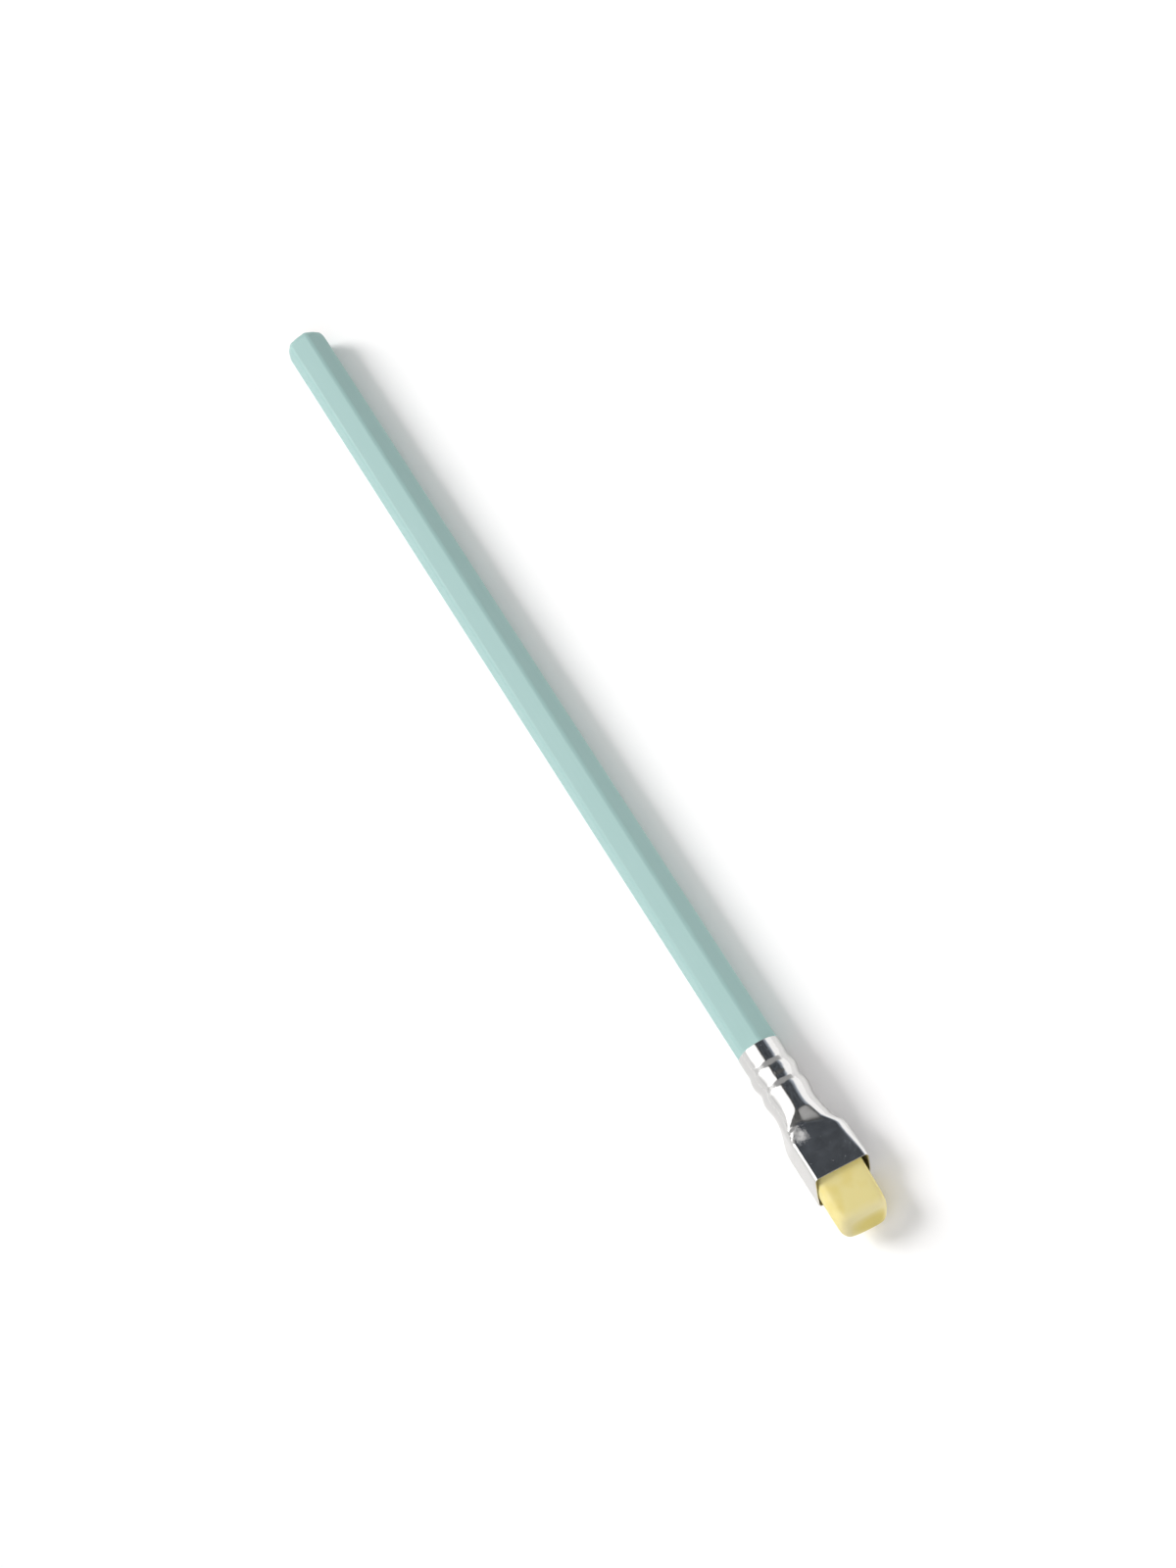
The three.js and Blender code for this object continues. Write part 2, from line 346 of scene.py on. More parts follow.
# %% [markdown]
# Past the beads each ring is a rectangle with round corners: its half width, its half thickness and its
# corner say all about it. The ramp down to the flat part sets in sharply and ends softly, as pressed sheet
# does, and the right shoulder is rounder than the left one.

# %% The outline of each ring
# The shares of the ramp over which its slope sets in and ends
RAMP_IN = 0.12
RAMP_OUT = 0.45


def ramp(value, start, end):
    """0 before start, 1 after end, and an even slope between that sets in sharply and ends softly."""
    share = min(max((value - start) / (end - start), 0), 1)
    whole = 1 - RAMP_IN / 2 - RAMP_OUT / 2
    if share < RAMP_IN:
        return share ** 2 / (2 * RAMP_IN) / whole
    if share > 1 - RAMP_OUT:
        return 1 - (1 - share) ** 2 / (2 * RAMP_OUT) / whole
    return (share - RAMP_IN / 2) / whole


right_shoulder = 1.5 * MM
right_shoulder_start = ramp_start + 1.5 * MM


def outline(along, arch, right):
    """Half width, half thickness and corner radius of the ring at a distance from the rim."""
    round_part = tube_radius(along)
    half_width = between(round_part, mouth_half_width, ease(along, flare_start, flat_start))
    half_thickness = between(round_part, mouth_half_thickness, ramp(along, ramp_start, ramp_end + arch))
    if right:
        shoulder = between(round_part, right_shoulder, ease(along, right_shoulder_start, corner_end))
        corner = between(shoulder, mouth_corner, ease(along, corner_end, ferrule_length))
    else:
        corner = between(round_part, mouth_corner, ease(along, corner_start, corner_end))
    return half_width, half_thickness, min(corner, half_width, half_thickness)


# A corner gets three times the points that its length would
CORNER_SHARE = 3


def on_outline(turn, half_width, half_thickness, corner):
    """The point a share of a turn round the outline, with points gathered into the corners."""
    quarter = int(turn * 4)
    share = turn * 4 - quarter
    share = 1 - share if quarter % 2 else share
    side = half_thickness - corner
    bend = corner * math.pi / 2 * CORNER_SHARE
    top = half_width - corner
    travel = share * (side + bend + top)
    if travel < side:
        y, z = half_width, travel
    elif travel < side + bend:
        angle = (travel - side) / bend * math.pi / 2
        y = top + corner * math.cos(angle)
        z = side + corner * math.sin(angle)
    else:
        y, z = side + bend + top - travel, half_thickness
    return (-y if quarter in (1, 2) else y), (-z if quarter in (2, 3) else z)


print("half mouth, mm:", [round(size / MM, 2) for size in outline(ferrule_length, 0, False)])

# %% [markdown]
# The die was not quite true. The face that it pressed begins in a crease on the left and in an arch on the
# right, its right side stands out a little, and a corner of the die has pinched its left edge. A mirror
# shows the smallest dent, so these are what tells formed sheet from a drawn shape.

# %% What the die leaves
crease = -1.0 * MM
arch_end = 2.6 * MM
arch_shift = 1.4 * MM
LEFT_SLANT = 0.3
fold_begins = (ramp_start - 0.8 * MM, ramp_start + 0.4 * MM)
fold_ends = (15.4 * MM, 16.6 * MM)
right_bulge = 0.5 * MM
bulge_from = 3.3 * MM
pinch_at = 17.5 * MM
pinch_length = 0.75 * MM
pinch_depth = 0.22 * MM
pinch_across = (1.5 * MM, 3.5 * MM)


def pressed(along, turn, right):
    """Where the die puts the point at a distance from the rim and a share of a turn."""
    y = on_outline(turn, *outline(along, 0, right))[0]
    arch = arch_shift * ease(y, crease, arch_end)
    half_width, half_thickness, corner = outline(along, arch, right)
    y, z = on_outline(turn, half_width, half_thickness, corner)
    if y < crease and z > 0:
        folded = ease(along, *fold_begins) * (1 - ease(along, *fold_ends))
        slant = half_thickness - LEFT_SLANT * (crease - y)
        z = between(z, min(z, slant), folded)
    upper_side = ease(z, -mouth_half_thickness, 0)
    y += right_bulge * upper_side * ease(along, ramp_end, flat_start) * ease(y, bulge_from, mouth_half_width)
    if z > 0:
        near_pinch = math.exp(-((along - pinch_at) / pinch_length) ** 2 / 2)
        z -= pinch_depth * near_pinch * ease(-y, *pinch_across)
    lean = mouth_rake * max(along - flat_start, 0) / (ferrule_length - flat_start)
    return along - lean * z, y, z


print(f"the die's faults: a bulge of {right_bulge / MM:.2f} mm and a pinch of {pinch_depth / MM:.2f} mm")

# %% Press the tube
RING_POINTS = 128
RING_CUTS = 100
# Turned by half a step, no point of a ring falls on the border of two quarters
HALF_STEP = math.pi / RING_POINTS

ferrule = add_rod(RING_POINTS, collar_radius, ferrule_length, ferrule_length / 2, ends="NOTHING")
open_for_editing(ferrule)
pick(ferrule, "edges", lambda edge: lengthwise(edge, ferrule_length / 2))
bpy.ops.mesh.subdivide(number_cuts=RING_CUTS)
for point in bmesh.from_edit_mesh(ferrule.data).verts:
    turn = (math.atan2(point.co.z, point.co.y) + HALF_STEP) / (2 * math.pi) % 1
    point.co = pressed(point.co.x, turn, point.co.y > 0)
bmesh.update_edit_mesh(ferrule.data)
bpy.ops.mesh.select_all(action="SELECT")
bpy.ops.mesh.normals_make_consistent(inside=False)
close(ferrule)
print("ferrule:", len(ferrule.data.vertices), "points in", len(ferrule.data.vertices) // RING_POINTS, "rings")

# %% [markdown]
# The tube is still a surface without thickness. Solidify gives it the sheet's wall, inwards, and the two
# cut lips get the thin burr-free edge that tumbling leaves.

# %% Wall and lips
def pick_sharp(degrees):
    """Selects the edges of the open piece that turn by more than an angle."""
    bpy.ops.mesh.select_mode(type="EDGE")
    bpy.ops.mesh.select_all(action="DESELECT")
    bpy.ops.mesh.edges_select_sharp(sharpness=math.radians(degrees))


lip_edge = 0.05 * MM
modify(ferrule, "SOLIDIFY", thickness=sheet, offset=-1, use_even_offset=True, use_quality_normals=True)
open_for_editing(ferrule)
pick_sharp(50)
bpy.ops.mesh.bevel(offset=lip_edge, segments=3, profile=0.5, affect="EDGES", clamp_overlap=True)
close(ferrule)
ferrule.matrix_world = Matrix.Translation((barrel_length, 0, 0))
print(f"wall of {sheet / MM:.2f} mm:", len(ferrule.data.polygons), "faces")

# %% [markdown]
# ## The clip in the mouth
#
# The mouth holds a U of thin spring strip, and the U grips the eraser's two broad faces. It is bent from
# one flat strip, so it is modelled that way: a plane for the back, two edges extruded forwards for the
# legs, the two bends bevelled round, and Solidify for the strip.

# %% Bend the clip
clip_sheet = 0.2 * MM
clip_bend = 0.4 * MM
clip_corner = 0.8 * MM
clip_gap = 0.05 * MM
clip_recess = 0.6 * MM
clip_half_width = 7.4 / 2 * MM
clip_half_height = mouth_half_thickness - sheet - clip_gap
clip_back = flat_start
upper_lip = ferrule_length - mouth_half_thickness * mouth_rake
leg_length = upper_lip - clip_recess - clip_back


def level(edge):
    """Whether both ends of the edge are at one height."""
    return abs(edge.verts[0].co.z - edge.verts[1].co.z) < clip_sheet


bpy.ops.mesh.primitive_plane_add(size=2, rotation=(0, math.radians(90), 0))
clip = take_up(bpy.context.object)
open_for_editing(clip)
bpy.ops.transform.resize(value=(1, clip_half_width, clip_half_height))
pick(clip, "edges", level)
bpy.ops.mesh.extrude_edges_move(TRANSFORM_OT_translate={"value": (leg_length, 0, 0)})
pick(clip, "edges", lambda edge: level(edge) and max(vert.co.x for vert in edge.verts) < clip_bend)
bpy.ops.mesh.bevel(offset=clip_bend, segments=8, profile=0.5, affect="EDGES", clamp_overlap=False)
pick(clip, "verts", lambda vert: vert.co.x > leg_length - clip_sheet)
bpy.ops.mesh.bevel(offset=clip_corner, segments=6, profile=0.5, affect="VERTICES")
bpy.ops.mesh.select_all(action="SELECT")
bpy.ops.mesh.normals_make_consistent(inside=False)
close(clip)
modify(clip, "SOLIDIFY", thickness=clip_sheet, offset=-1, use_even_offset=True)
clip.matrix_world = Matrix.Translation((barrel_length + clip_back, 0, 0))
print(f"clip: legs of {leg_length / MM:.2f} mm,", len(clip.data.polygons), "faces")

# %% [markdown]
# ## The eraser
#
# The eraser is a moulded bar of soft rubber, cut to length and tumbled until no edge is sharp. It starts as
# a cube at its size. Its end leans as the ferrule's mouth does, so the end's upper edge moves in and its
# lower edge out. The bevel tool then rounds the upright edges of the end more than the others, as use does
# first.

# %% Shape the eraser
eraser_width = 9.26 * MM
eraser_thickness = 5.1 * MM
eraser_back = flat_start + 0.45 * MM
eraser_front = ferrule_length + 8.1 * MM
eraser_lean = 1.6 * MM
eraser_length = eraser_front - eraser_back
eraser_middle = eraser_back + eraser_length / 2
end_corner = 2.2 * MM
eraser_edge = 1.35 * MM


def upright_at_end(edge):
    """Whether the edge stands upright at the end that shows."""
    at_end = min(vert.co.x for vert in edge.verts) > eraser_middle
    return at_end and abs(edge.verts[0].co.z - edge.verts[1].co.z) > eraser_thickness / 2


bpy.ops.mesh.primitive_cube_add(
    size=1, location=(eraser_middle, 0, 0), scale=(eraser_length, eraser_width, eraser_thickness))
eraser = take_up(bpy.context.object)
open_for_editing(eraser)
for side in (1, -1):
    pick(eraser, "verts", lambda vert: vert.co.x > eraser_middle and vert.co.z * side > 0)
    bpy.ops.transform.translate(value=(-side * eraser_lean / 2, 0, 0))
pick(eraser, "edges", upright_at_end)
bpy.ops.mesh.bevel(offset=end_corner, segments=3, profile=0.5, affect="EDGES", clamp_overlap=False)
pick_sharp(40)
bpy.ops.mesh.bevel(offset=eraser_edge, segments=2, profile=0.5, affect="EDGES", clamp_overlap=False)
close(eraser)
print("eraser:", len(eraser.data.polygons), "faces before it is softened")

# %% [markdown]
# Subdivision Surface turns the bevels into soft roundings, better than more bevel segments would. It pulls
# the block in a little, so the block is stretched back to its size from its hidden end.

# %% Soften the eraser
modify(eraser, "SUBSURF", levels=3, render_levels=3)
softened = eraser.dimensions.copy()
full_size = (eraser_length + eraser_lean / 2, eraser_width, eraser_thickness)
open_for_editing(eraser)
bpy.ops.mesh.select_all(action="SELECT")
bpy.ops.transform.resize(
    value=[full / soft for full, soft in zip(full_size, softened)], center_override=(eraser_back, 0, 0))
close(eraser)
print("eraser stretched back by", [round(size / MM, 2) for size in eraser.dimensions - softened], "mm")

# %% [markdown]
# It was pushed into the mouth by hand and sits a degree and a half askew, its pivot at the lower lip.

# %% Set the eraser askew
eraser_skew = math.radians(1.5)
lower_lip = barrel_length + ferrule_length + mouth_half_thickness * mouth_rake
off_axis = -0.12 * MM
pivot = Vector((lower_lip, off_axis, 0))
eraser.matrix_world = (
    Matrix.Translation(pivot) @ Matrix.Rotation(-eraser_skew, 4, "Z")
    @ Matrix.Translation((barrel_length - pivot.x, 0, 0)))
print(f"eraser turned by {math.degrees(eraser_skew):.1f} degrees")

# %% [markdown]
# ## Handing the pieces over
#
# Every finished piece is laid down where its CAD node is, its place is applied to its mesh, and it is tied
# to the body it moves with. The print compares each piece's box with its node's.

# %% Lay the pieces down
def hand_over(piece, node, body, smooth_below=35):
    """Lays the piece down at rest, smooths its shading, and lets it stand for its CAD node."""
    piece.name = node + "_look"
    piece.matrix_world = to_rest @ piece.matrix_world
    take_up(piece)
    bpy.ops.object.shade_smooth_by_angle(angle=math.radians(smooth_below))
    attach(piece, body)
    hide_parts(node)
    low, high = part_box(node)
    made_low = Vector(map(min, *[v.co for v in piece.data.vertices]))
    made_high = Vector(map(max, *[v.co for v in piece.data.vertices]))
    off = max(abs(a - b) for a, b in zip((*low, *high), (*made_low, *made_high)))
    print(f"{piece.name}: {len(piece.data.polygons)} faces, within {off / MM:.2f} mm of its CAD box")


hand_over(core, "graphite_core", "pencil")
hand_over(slat_upper, "slat_upper", "pencil")
hand_over(slat_lower, "slat_lower", "pencil")
hand_over(ferrule, "ferrule", "pencil", smooth_below=50)
hand_over(clip, "eraser_clip", "clip")
hand_over(eraser, "eraser", "rubber", smooth_below=50)

# %% [markdown]
# ## Materials
#
# Each finish is a Principled shader with a few textures on the piece's own coordinates, which are real
# metres here. Colours are written as they look on a screen, in sRGB, and turned linear once. One helper
# adds a node; what is linked and what is a plain value is told apart by its type.

# %% Helpers for materials
def linear(colour):
    """An sRGB hex colour as the linear RGBA that shaders use."""
    channels = [int(colour[i:i + 2], 16) / 255 for i in (1, 3, 5)]
    return [c / 12.92 if c <= 0.04045 else ((c + 0.055) / 1.055) ** 2.4 for c in channels] + [1]


def per(size):
    """The texture scale whose features are this many millimetres apart."""
    return 1 / (size * MM)


def add(tree, kind, inputs, **settings):
    """Adds a node, sets its properties, and fills or links its inputs."""
    node = tree.nodes.new("ShaderNode" + kind)
    for name, value in settings.items():
        setattr(node, name, value)
    for name, value in inputs.items():
        if isinstance(value, bpy.types.NodeSocket):
            tree.links.new(value, node.inputs[name])
        else:
            node.inputs[name].default_value = value
    return node


def start_material(name):
    """A new material, its node tree, its shader and its coordinates."""
    material = bpy.data.materials.new(name)
    material.use_nodes = True
    tree = material.node_tree
    shader = tree.nodes["Principled BSDF"]
    place = add(tree, "TexCoord", {}).outputs["Object"]
    return material, tree, shader, place


# The Mix node's colour sockets have no names of their own
FACTOR, FIRST, SECOND, MIXED = 0, 6, 7, 2

# %% [markdown]
# ### Mint lacquer
#
# The barrel has several thin coats of nitrocellulose lacquer, pulled on through a felt ring. That gives an
# even satin colour in which the wood's grain still shows as faint lengthwise streaks, and a very slight
# orange peel.

# %% Satin lacquer over milled wood
lacquer, tree, shader, place = start_material("mint_lacquer_satin")
shader.inputs["Roughness"].default_value = 0.46
shader.inputs["Specular IOR Level"].default_value = 0.3
# Growth rings of the slat show through as streaks about half a millimetre wide and a centimetre long
along_grain = add(tree, "Mapping", {"Vector": place, "Scale": (0.05, 1, 1)}).outputs["Vector"]
streaks = add(tree, "TexNoise", {"Vector": along_grain, "Scale": per(0.5), "Detail": 3.0}).outputs["Fac"]
cloudy = add(tree, "TexNoise", {"Vector": place, "Scale": per(7), "Detail": 2.0}).outputs["Fac"]
streaked = add(tree, "Mix", {
    FACTOR: streaks, FIRST: linear("#9dbfbb"), SECOND: linear("#a6c5c2")}, data_type="RGBA").outputs[MIXED]
mint = add(tree, "Mix", {
    FACTOR: cloudy, FIRST: linear("#9fc1bd"), SECOND: streaked}, data_type="RGBA").outputs[MIXED]
tree.links.new(mint, shader.inputs["Base Color"])
# Orange peel is finer than this on the real coat; it is drawn at 0.7 mm to show at all
peel = add(tree, "TexNoise", {"Vector": place, "Scale": per(0.7), "Detail": 2.0}).outputs["Fac"]
peel_relief = add(tree, "Bump", {"Height": peel, "Strength": 0.25, "Distance": 0.01 * MM}).outputs["Normal"]
grain_relief = add(tree, "Bump", {
    "Height": streaks, "Strength": 0.3, "Distance": 0.01 * MM, "Normal": peel_relief}).outputs["Normal"]
tree.links.new(grain_relief, shader.inputs["Normal"])
print(lacquer.name, "has", len(tree.nodes), "nodes")

# %% [markdown]
# ### Bare wood
#
# Where the blank is sawn, bored and glued, the soft wood is bare. Across the end one sees the yearly rings
# as slightly bent lines and the pores between them as fine specks.

# %% Sawn end grain
wood, tree, shader, place = start_material("basswood_sawn")
shader.inputs["Roughness"].default_value = 0.75
fibres = add(tree, "Mapping", {"Vector": place, "Scale": (0.05, 1, 1)}).outputs["Vector"]
# Diagonal bands turn 10 radians for each step in Y and in Z, so this draws rings 1.1 mm apart across the end
WAVE_STEPS = 2 * math.pi / (10 * math.sqrt(2))
rings = add(tree, "TexWave", {
    "Vector": fibres, "Scale": WAVE_STEPS * per(1.1), "Distortion": 3.0, "Detail": 2.0},
    bands_direction="DIAGONAL").outputs["Fac"]
# Pores are finer than this in the real wood; they are drawn at 0.18 mm to show at all
pores = add(tree, "TexNoise", {"Vector": fibres, "Scale": per(0.18), "Detail": 3.0}).outputs["Fac"]
years = add(tree, "Mix", {
    FACTOR: rings, FIRST: linear("#d8b78e"), SECOND: linear("#c49b6c")}, data_type="RGBA").outputs[MIXED]
end_grain = add(tree, "Mix", {
    FACTOR: pores, FIRST: years, SECOND: linear("#e2c7a2")}, data_type="RGBA").outputs[MIXED]
tree.links.new(end_grain, shader.inputs["Base Color"])
saw_marks = add(tree, "Bump", {"Height": pores, "Strength": 0.5, "Distance": 0.03 * MM}).outputs["Normal"]
tree.links.new(saw_marks, shader.inputs["Normal"])
print(wood.name, "has", len(tree.nodes), "nodes")

# %% [markdown]
# A slat wears two finishes: lacquer outside and bare wood wherever it was cut. All faces start as wood.
# Then the outside faces of the barrel, round its rim too, are selected by their place and take the second
# slot. Weighted normals let the light run flat over the six sides, right up to their rounded edges.

# %% Paint the slats
def dress(piece, *finishes):
    """Gives the piece these materials and no others."""
    piece.data.materials.clear()
    for finish in finishes:
        piece.data.materials.append(finish)
    print(piece.name, "wears", " and ".join(finish.name for finish in finishes))


# The cosine to a direction of a normal that points along it, and of one that leans towards it
ALONG = 0.995
TOWARDS = 0.5
near_shoulder = 0.08 * MM
near_seam = 10 * glue_line
seam_at_rest = to_rest.to_3x3() @ seam_normal


def is_lacquered(face):
    """Outside the barrel: not on the tenon, its shoulder, the sawn end, the bore or the glue line."""
    centre = face.calc_center_median() - axis_start
    on_shoulder = centre.x > barrel_length - near_shoulder and abs(face.normal.x) > TOWARDS
    on_tenon = centre.x > barrel_length
    on_sawn_end = face.normal.x <= -ALONG
    in_bore = math.hypot(centre.y, centre.z) <= 2 * core_radius
    faces_seam = abs(face.normal.dot(seam_at_rest)) > ALONG
    on_seam = faces_seam and abs(centre.dot(seam_at_rest)) < near_seam
    return not (on_shoulder or on_tenon or on_sawn_end or in_bore or on_seam)


for slat in (slat_upper, slat_lower):
    dress(slat, wood, lacquer)
    open_for_editing(slat)
    painted = pick(slat, "faces", is_lacquered)
    slat.active_material_index = 1
    bpy.ops.object.material_slot_assign()
    close(slat)
    modify(slat, "WEIGHTED_NORMAL", keep_sharp=True, weight=100)
    print(painted, "lacquered faces of", len(slat.data.polygons))

# %% [markdown]
# ### Graphite
#
# The core is graphite and clay, extruded, fired and soaked in wax. Sawn across, it is a dark grey with a
# soft metallic sheen, broken up by tiny bright flakes.

# %% Fired graphite
graphite, tree, shader, place = start_material("graphite_fired")
shader.inputs["Metallic"].default_value = 0.35
shader.inputs["Roughness"].default_value = 0.42
# Real flakes are a tenth of this; they are drawn at 0.12 mm to show at all
flakes = add(tree, "TexNoise", {"Vector": place, "Scale": per(0.12), "Detail": 4.0}).outputs["Fac"]
dark_grey = add(tree, "Mix", {
    FACTOR: flakes, FIRST: linear("#2f2f32"), SECOND: linear("#5d5e63")}, data_type="RGBA").outputs[MIXED]
tree.links.new(dark_grey, shader.inputs["Base Color"])
tooth = add(tree, "Bump", {"Height": flakes, "Strength": 0.4, "Distance": 0.02 * MM}).outputs["Normal"]
tree.links.new(tooth, shader.inputs["Normal"])
dress(core, graphite)

# %% [markdown]
# ### Bright aluminium
#
# The ferrule is drawn aluminium, tumbled bright. It mirrors the studio, but handling leaves a thin uneven
# film on it, and where the corner of the die pinched the sheet, the scuffed metal turns matte and catches
# the light.

# %% Drawn and tumbled aluminium
aluminium, tree, shader, place = start_material("aluminium_drawn_bright")
shader.inputs["Metallic"].default_value = 1.0
handling = add(tree, "TexNoise", {"Vector": place, "Scale": per(2.5), "Detail": 3.0}).outputs["Fac"]
bright = add(tree, "Mix", {
    FACTOR: handling, FIRST: linear("#d4d3d1"), SECOND: linear("#dbdad9")}, data_type="RGBA").outputs[MIXED]
tree.links.new(bright, shader.inputs["Base Color"])
film = add(tree, "MapRange", {"Value": handling, "To Min": 0.10, "To Max": 0.17}).outputs["Result"]
# The scuff is a few millimetres across, in specks of about half a millimetre
scuff_reach = 2.2 * MM
scuff_along = pinch_at + 0.2 * MM
scuff_across = -2.9 * MM
scuff_at = to_rest @ Vector((barrel_length + scuff_along, scuff_across, mouth_half_thickness))
from_scuff = add(tree, "VectorMath", {0: place, 1: scuff_at}, operation="DISTANCE").outputs["Value"]
closeness = add(tree, "MapRange", {
    "Value": from_scuff, "From Min": 0.0, "From Max": scuff_reach,
    "To Min": 0.6, "To Max": 0.0}).outputs["Result"]
specks = add(tree, "TexNoise", {
    "Vector": place, "Scale": per(0.6), "Detail": 4.0, "Roughness": 0.7}).outputs["Fac"]
bitten = add(tree, "Math", {0: specks, 1: closeness}, operation="ADD").outputs[0]
scuffed = add(tree, "MapRange", {
    "Value": bitten, "From Min": 0.6, "From Max": 1.0, "To Min": film, "To Max": 0.62}).outputs["Result"]
tree.links.new(scuffed, shader.inputs["Roughness"])
dress(ferrule, aluminium)

# %% [markdown]
# Sheet metal is never quite smooth either. The die leaves broad swells on the flat part, forming leaves
# waves of a millimetre or two, and drawing a fine ripple. They make the edges of every reflection ragged.

# %% Swells, waves and ripple
along_pencil = add(tree, "SeparateXYZ", {"Vector": place}).outputs["X"]
on_flat = add(tree, "MapRange", {
    "Value": along_pencil, "From Min": ferrule_start + ramp_end,
    "From Max": ferrule_start + flat_start}).outputs["Result"]
swells = add(tree, "TexNoise", {"Vector": place, "Scale": per(4.5), "Detail": 1.0}).outputs["Fac"]
waves = add(tree, "TexNoise", {"Vector": place, "Scale": per(1.6), "Detail": 1.0}).outputs["Fac"]
# The marks of drawing are finer than this; they are drawn at a quarter of a millimetre to show at all
ripple = add(tree, "TexNoise", {"Vector": place, "Scale": per(0.25), "Detail": 2.0}).outputs["Fac"]
relief = add(tree, "Bump", {"Height": swells, "Strength": on_flat, "Distance": 0.22 * MM}).outputs["Normal"]
for texture, depth in ((waves, 0.008 * MM), (ripple, 0.006 * MM)):
    relief = add(tree, "Bump", {
        "Height": texture, "Strength": 1.0, "Distance": depth, "Normal": relief}).outputs["Normal"]
tree.links.new(relief, shader.inputs["Normal"])
print(aluminium.name, "has", len(tree.nodes), "nodes")

# %% [markdown]
# ### Spring steel
#
# The clip is cold-rolled strip, so fine lines run along it from the rolls.

# %% Cold-rolled strip
steel, tree, shader, place = start_material("spring_steel_rolled")
shader.inputs["Metallic"].default_value = 1.0
along_strip = add(tree, "Mapping", {"Vector": place, "Scale": (0.03, 1, 1)}).outputs["Vector"]
# Roll lines are finer than this on real strip; they are drawn 0.12 mm wide and 4 mm long to show at all
lines = add(tree, "TexNoise", {"Vector": along_strip, "Scale": per(0.12), "Detail": 3.0}).outputs["Fac"]
polish = add(tree, "MapRange", {"Value": lines, "To Min": 0.22, "To Max": 0.45}).outputs["Result"]
tree.links.new(polish, shader.inputs["Roughness"])
steel_grey = add(tree, "Mix", {
    FACTOR: lines, FIRST: linear("#a9aaac"), SECOND: linear("#c3c4c6")}, data_type="RGBA").outputs[MIXED]
tree.links.new(steel_grey, shader.inputs["Base Color"])
roll_marks = add(tree, "Bump", {"Height": lines, "Strength": 0.5, "Distance": 0.01 * MM}).outputs["Normal"]
tree.links.new(roll_marks, shader.inputs["Normal"])
dress(clip, steel)

# %% [markdown]
# ### Eraser rubber
#
# The eraser is pale yellow rubber. Light goes a little way into it, which softens its edges, and its matte
# skin has a fine moulded grain and deeper yellow patches where hands and paper have been.

# %% Moulded rubber
rubber, tree, shader, place = start_material("rubber_moulded_pale_yellow")
shader.inputs["Roughness"].default_value = 0.55
shader.inputs["Subsurface Weight"].default_value = 0.15
shader.inputs["Subsurface Radius"].default_value = (1.0, 0.8, 0.3)
shader.inputs["Subsurface Scale"].default_value = 0.6 * MM
patches = add(tree, "TexNoise", {"Vector": place, "Scale": per(4.5), "Detail": 2.0}).outputs["Fac"]
stain = add(tree, "MapRange", {"Value": patches, "From Min": 0.5, "From Max": 0.75}).outputs["Result"]
yellow = add(tree, "Mix", {
    FACTOR: stain, FIRST: linear("#e5d791"), SECOND: linear("#e0cd78")}, data_type="RGBA").outputs[MIXED]
# The moulded grain is finer than this; it is drawn at a quarter of a millimetre to show at all
crumb = add(tree, "TexNoise", {"Vector": place, "Scale": per(0.25), "Detail": 3.0}).outputs["Fac"]
matte = add(tree, "Bump", {"Height": crumb, "Strength": 0.3, "Distance": 0.02 * MM}).outputs["Normal"]
tree.links.new(matte, shader.inputs["Normal"])
dress(eraser, rubber)

# %% [markdown]
# The rounding of the end gets a paler colour, a painted highlight where it catches the light, and the end
# itself a deeper yellow, painted shade for the face that turns away from the light. Both go by how far a
# point still is from the plane of the end, which leans as the end does.

# %% Painted highlight and shade on the eraser's end
end_normal = (to_rest.to_3x3() @ Vector((eraser_thickness, 0, eraser_lean))).normalized()
end_reach = max(vert.co.dot(end_normal) for vert in eraser.data.vertices)
endwards = add(tree, "VectorMath", {0: place, 1: end_normal}, operation="DOT_PRODUCT").outputs["Value"]
# The end's painted highlight and painted shade go over the rubber's own yellow
painted_end_light = yellow
# The painted highlight on the rounding and the painted shade on the end, each with the depths at which
# it sets in and is full
for colour, fades_in_at, full_at in (("#e8dca6", 2.2 * MM, 0.7 * MM), ("#d6c56e", 0.4 * MM, 0.05 * MM)):
    end_light_mask = add(tree, "MapRange", {
        "Value": endwards, "From Min": end_reach - fades_in_at,
        "From Max": end_reach - full_at}).outputs["Result"]
    painted_end_light = add(tree, "Mix", {
        FACTOR: end_light_mask, FIRST: painted_end_light, SECOND: linear(colour)}, data_type="RGBA").outputs[MIXED]
tree.links.new(painted_end_light, shader.inputs["Base Color"])
print(rubber.name, "has", len(tree.nodes), "nodes")

# %% [markdown]
# ## The studio
#
# The photograph has a white ground and soft light from the left. The sky gives the object a small part of
# its strength as light, and shows itself at full strength to the camera and in reflections, so the ground
# is white without more light on the pencil.

# %% A white surround
def shows_itself(tree):
    """1 for rays from the camera and from gloss or glass, 0 for rays that light the object."""
    path = add(tree, "LightPath", {}).outputs
    shown = path["Is Camera Ray"]
    for ray in ("Is Glossy Ray", "Is Transmission Ray"):
        shown = add(tree, "Math", {0: shown, 1: path[ray]}, operation="MAXIMUM").outputs[0]
    return shown


SKY_LIGHT = 0.15
world = bpy.data.worlds.new("white_surround")
world.use_nodes = True
bpy.context.scene.world = world
sky = world.node_tree.nodes["Background"]
sky.inputs["Color"].default_value = linear("#ffffff")
strength = add(world.node_tree, "Math", {
    0: shows_itself(world.node_tree), 1: 1 - SKY_LIGHT, 2: SKY_LIGHT}, operation="MULTIPLY_ADD").outputs[0]
world.node_tree.links.new(strength, sky.inputs["Strength"])
bpy.context.scene.view_settings.view_transform = "Standard"
print("the sky lights the pencil at", SKY_LIGHT, "of its strength")

